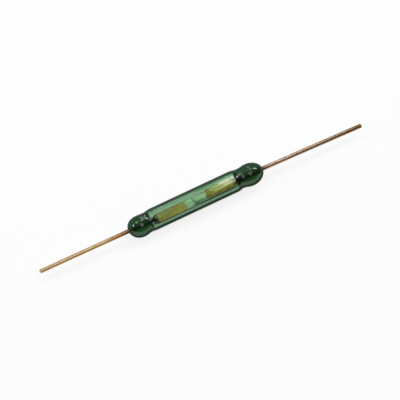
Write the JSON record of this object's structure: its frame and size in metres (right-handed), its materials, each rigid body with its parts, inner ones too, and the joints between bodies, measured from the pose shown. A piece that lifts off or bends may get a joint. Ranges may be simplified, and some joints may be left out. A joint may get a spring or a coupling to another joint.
{
  "type": "glass reed switch",
  "caption": "Reed switch: a green glass tube with melted round ends, sealed round stamped wire reeds whose flat plated tips overlap and close in a magnetic field.",
  "frame": {"origin": "middle of the gas space, on the axis of the glass, halfway between the plated tips", "axes": "+X along the glass towards the longer lead, +Z square to the flat blades with the right blade on top"},
  "size_m": [0.0487, 0.0032, 0.0032],
  "materials": {
    "green_glass": "clear",
    "plated_wire": "satin",
    "contact_plating": "satin"
  },
  "bodies": {
    "envelope": {"glass_envelope": "green_glass", "left_lead": "plated_wire", "right_lead": "plated_wire"},
    "left_reed": {"left_blade": "plated_wire", "left_contact": "contact_plating"},
    "right_reed": {"right_blade": "plated_wire", "right_contact": "contact_plating"}
  },
  "joints": [
    {"name": "left_reed_flex", "type": "hinge", "parent": "envelope", "child": "left_reed", "pos_m": [-0.00573, 0, -0.00016], "axis": [0, -1, 0], "range_deg": [0, 0.399], "stiffness_Nm_per_rad": 0.001},
    {"name": "right_reed_flex", "type": "hinge", "parent": "envelope", "child": "right_reed", "pos_m": [0.00573, 0, 0.00016], "axis": [0, -1, 0], "range_deg": [0, 0.399], "stiffness_Nm_per_rad": 0.001}
  ],
  "couplings": [
    {"joint": "right_reed_flex", "follows": "left_reed_flex", "ratio": 1}
  ]
}
